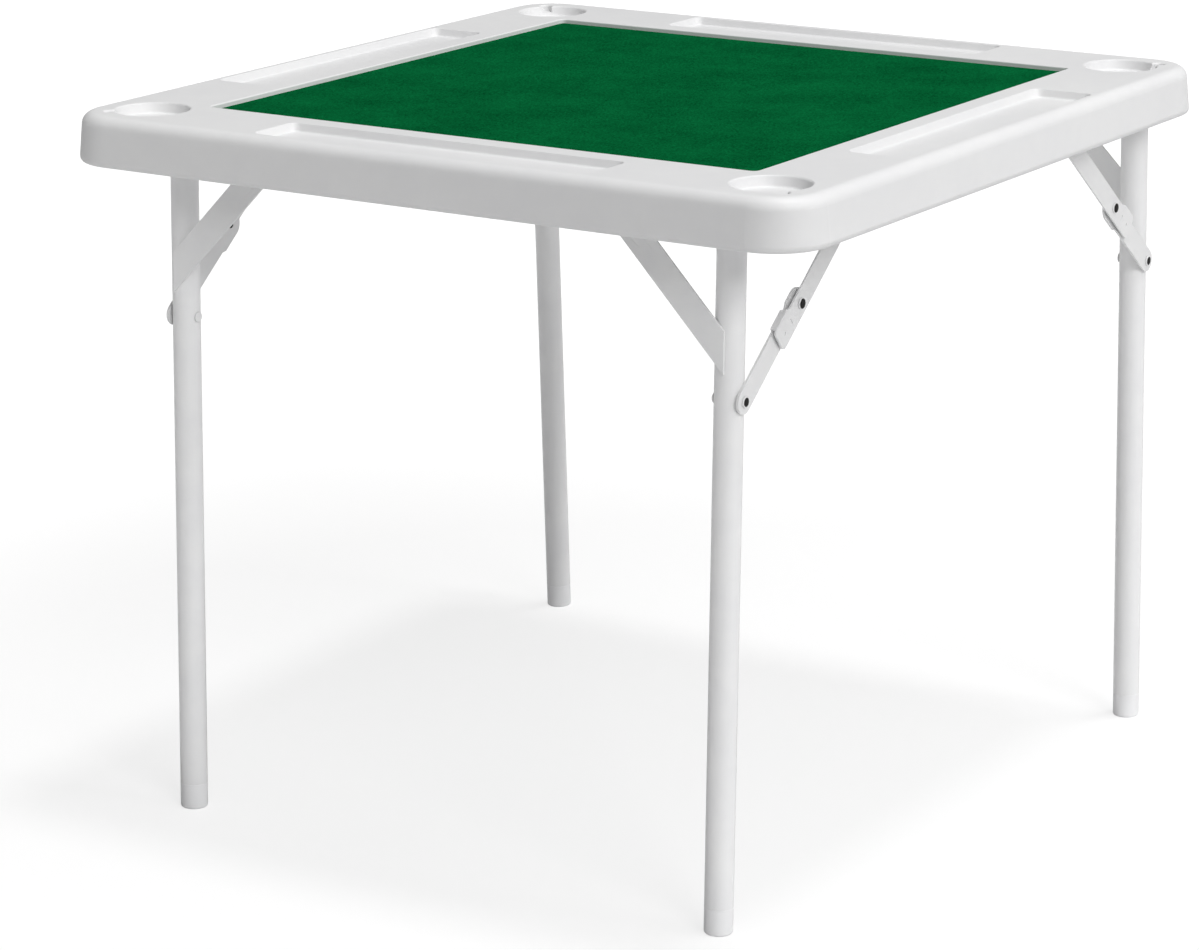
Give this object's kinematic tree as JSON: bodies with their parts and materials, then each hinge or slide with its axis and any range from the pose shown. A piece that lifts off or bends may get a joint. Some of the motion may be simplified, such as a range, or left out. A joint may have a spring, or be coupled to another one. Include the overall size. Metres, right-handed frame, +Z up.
{
  "type": "folding card table",
  "caption": "Square card table with a moulded white top, green felt field, cup holders, chip trays, and two tubular leg frames that fold under it on locking stays.",
  "frame": {"origin": "on the floor under the middle of the table", "axes": "+Z up, +X along the front side towards the right, +Y towards the rear, where the wider leg frame stands"},
  "size_m": [0.8788, 0.8788, 0.745],
  "materials": {
    "top_plastic": "satin moulded white plastic with a fine grain",
    "felt": "short dense green felt",
    "frame_enamel": "smooth glossy white enamel",
    "brace_enamel": "white enamel on pressed strip",
    "bracket_enamel": "grey white enamel on pressed steel",
    "stay_enamel": "white enamel on pressed strip",
    "foot_plastic": "smooth moulded white plastic",
    "rivet_enamel": "white enamel over the rolled rivet",
    "rivet_core": "bare steel, dark with oil",
    "washer_steel": "zinc plated steel",
    "screw_steel": "zinc plated steel"
  },
  "bodies": {
    "tabletop": {"tabletop_shell": "top_plastic", "felt_panel": "felt", "pivot_strap_screws": "screw_steel", "stay_bracket_screws": "screw_steel", "stay_top_rivets": "rivet_enamel", "front_left_pivot_strap": "bracket_enamel", "front_left_stay_bracket": "bracket_enamel", "front_right_pivot_strap": "bracket_enamel", "front_right_stay_bracket": "bracket_enamel", "rear_left_pivot_strap": "bracket_enamel", "rear_left_stay_bracket": "bracket_enamel", "rear_right_pivot_strap": "bracket_enamel", "rear_right_stay_bracket": "bracket_enamel"},
    "front_frame": {"front_cross_tube": "frame_enamel", "front_tube_plugs": "foot_plastic", "front_leg_rivets": "rivet_enamel", "front_left_leg": "frame_enamel", "front_left_foot_cap": "foot_plastic", "front_left_brace": "brace_enamel", "front_right_leg": "frame_enamel", "front_right_foot_cap": "foot_plastic", "front_right_brace": "brace_enamel"},
    "front_left_upper_stay": {"front_left_upper_link": "stay_enamel", "front_left_elbow_cap": "rivet_enamel"},
    "front_left_lower_stay": {"front_left_lower_link": "stay_enamel", "front_left_elbow_pin": "rivet_core", "front_left_elbow_washer": "washer_steel"},
    "front_right_upper_stay": {"front_right_upper_link": "stay_enamel", "front_right_elbow_cap": "rivet_enamel"},
    "front_right_lower_stay": {"front_right_lower_link": "stay_enamel", "front_right_elbow_pin": "rivet_core", "front_right_elbow_washer": "washer_steel"},
    "rear_frame": {"rear_cross_tube": "frame_enamel", "rear_tube_plugs": "foot_plastic", "rear_leg_rivets": "rivet_enamel", "rear_left_leg": "frame_enamel", "rear_left_foot_cap": "foot_plastic", "rear_left_brace": "brace_enamel", "rear_right_leg": "frame_enamel", "rear_right_foot_cap": "foot_plastic", "rear_right_brace": "brace_enamel"},
    "rear_left_upper_stay": {"rear_left_upper_link": "stay_enamel", "rear_left_elbow_cap": "rivet_enamel"},
    "rear_left_lower_stay": {"rear_left_lower_link": "stay_enamel", "rear_left_elbow_pin": "rivet_core", "rear_left_elbow_washer": "washer_steel"},
    "rear_right_upper_stay": {"rear_right_upper_link": "stay_enamel", "rear_right_elbow_cap": "rivet_enamel"},
    "rear_right_lower_stay": {"rear_right_lower_link": "stay_enamel", "rear_right_elbow_pin": "rivet_core", "rear_right_elbow_washer": "washer_steel"}
  },
  "joints": [
    {"name": "front_fold", "type": "hinge", "parent": "tabletop", "child": "front_frame", "pos_m": [0, -0.37, 0.711], "axis": [1, 0, 0], "range_deg": [0, 92]},
    {"name": "front_left_upper_swing", "type": "hinge", "parent": "tabletop", "child": "front_left_upper_stay", "pos_m": [-0.344, -0.155, 0.711], "axis": [1, 0, 0], "range_deg": [-38.65, 0]},
    {"name": "front_left_lower_swing", "type": "hinge", "parent": "front_frame", "child": "front_left_lower_stay", "pos_m": [-0.344, -0.37618, 0.53411], "axis": [1, 0, 0], "range_deg": [0, 49.35]},
    {"name": "front_right_upper_swing", "type": "hinge", "parent": "tabletop", "child": "front_right_upper_stay", "pos_m": [0.344, -0.155, 0.711], "axis": [1, 0, 0], "range_deg": [-38.65, 0]},
    {"name": "front_right_lower_swing", "type": "hinge", "parent": "front_frame", "child": "front_right_lower_stay", "pos_m": [0.344, -0.37618, 0.53411], "axis": [1, 0, 0], "range_deg": [0, 49.35]},
    {"name": "rear_fold", "type": "hinge", "parent": "tabletop", "child": "rear_frame", "pos_m": [0, 0.37, 0.709], "axis": [-1, 0, 0], "range_deg": [0, 92]},
    {"name": "rear_left_upper_swing", "type": "hinge", "parent": "tabletop", "child": "rear_left_upper_stay", "pos_m": [-0.403, 0.155, 0.709], "axis": [-1, 0, 0], "range_deg": [-38.65, 0]},
    {"name": "rear_left_lower_swing", "type": "hinge", "parent": "rear_frame", "child": "rear_left_lower_stay", "pos_m": [-0.403, 0.37618, 0.53211], "axis": [-1, 0, 0], "range_deg": [0, 49.35]},
    {"name": "rear_right_upper_swing", "type": "hinge", "parent": "tabletop", "child": "rear_right_upper_stay", "pos_m": [0.403, 0.155, 0.709], "axis": [-1, 0, 0], "range_deg": [-38.65, 0]},
    {"name": "rear_right_lower_swing", "type": "hinge", "parent": "rear_frame", "child": "rear_right_lower_stay", "pos_m": [0.403, 0.37618, 0.53211], "axis": [-1, 0, 0], "range_deg": [0, 49.35]}
  ],
  "couplings": [
    {"joint": "front_left_upper_swing", "follows": "front_fold", "ratio": -0.42013},
    {"joint": "front_left_lower_swing", "follows": "front_fold", "ratio": 0.53639},
    {"joint": "front_right_upper_swing", "follows": "front_fold", "ratio": -0.42013},
    {"joint": "front_right_lower_swing", "follows": "front_fold", "ratio": 0.53639},
    {"joint": "rear_left_upper_swing", "follows": "rear_fold", "ratio": -0.42013},
    {"joint": "rear_left_lower_swing", "follows": "rear_fold", "ratio": 0.53639},
    {"joint": "rear_right_upper_swing", "follows": "rear_fold", "ratio": -0.42013},
    {"joint": "rear_right_lower_swing", "follows": "rear_fold", "ratio": 0.53639}
  ]
}
